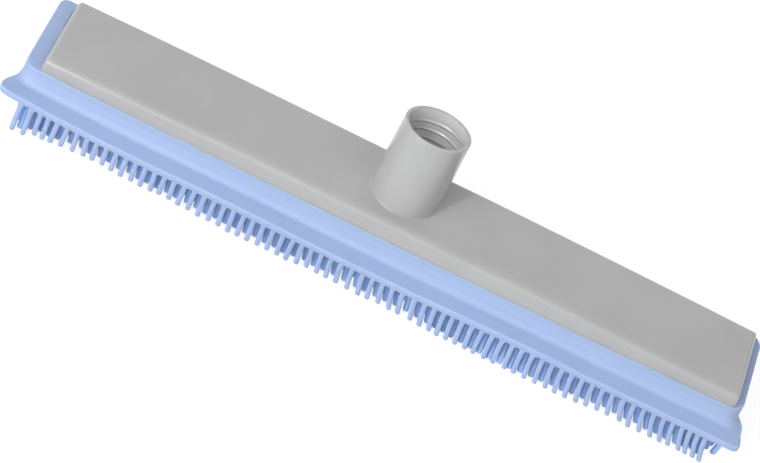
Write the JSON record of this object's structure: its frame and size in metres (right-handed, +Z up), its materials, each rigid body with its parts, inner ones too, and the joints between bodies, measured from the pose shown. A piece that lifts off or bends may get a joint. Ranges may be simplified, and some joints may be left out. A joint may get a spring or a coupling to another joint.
{
  "type": "rubber broom head",
  "caption": "Rubber broom head: a hard cap with a tilted threaded handle socket, seated in a soft rubber block with a flared front lip and a field of tapered fingers.",
  "frame": {"origin": "centre of the head's outline, on the floor plane that the fingertips stand on", "axes": "+X along the head, -Y the front with the lip, +Y the back that the socket leans towards, +Z up"},
  "size_m": [0.35, 0.0632, 0.0712],
  "materials": {
    "cap_plastic": "moulded polypropylene, fine satin grain",
    "head_rubber": "soft moulded rubber, satin"
  },
  "bodies": {
    "root": {"cap": "cap_plastic", "rubber_head": "head_rubber", "front_fingers": "head_rubber", "middle_fingers": "head_rubber", "back_fingers": "head_rubber"}
  },
  "joints": []
}
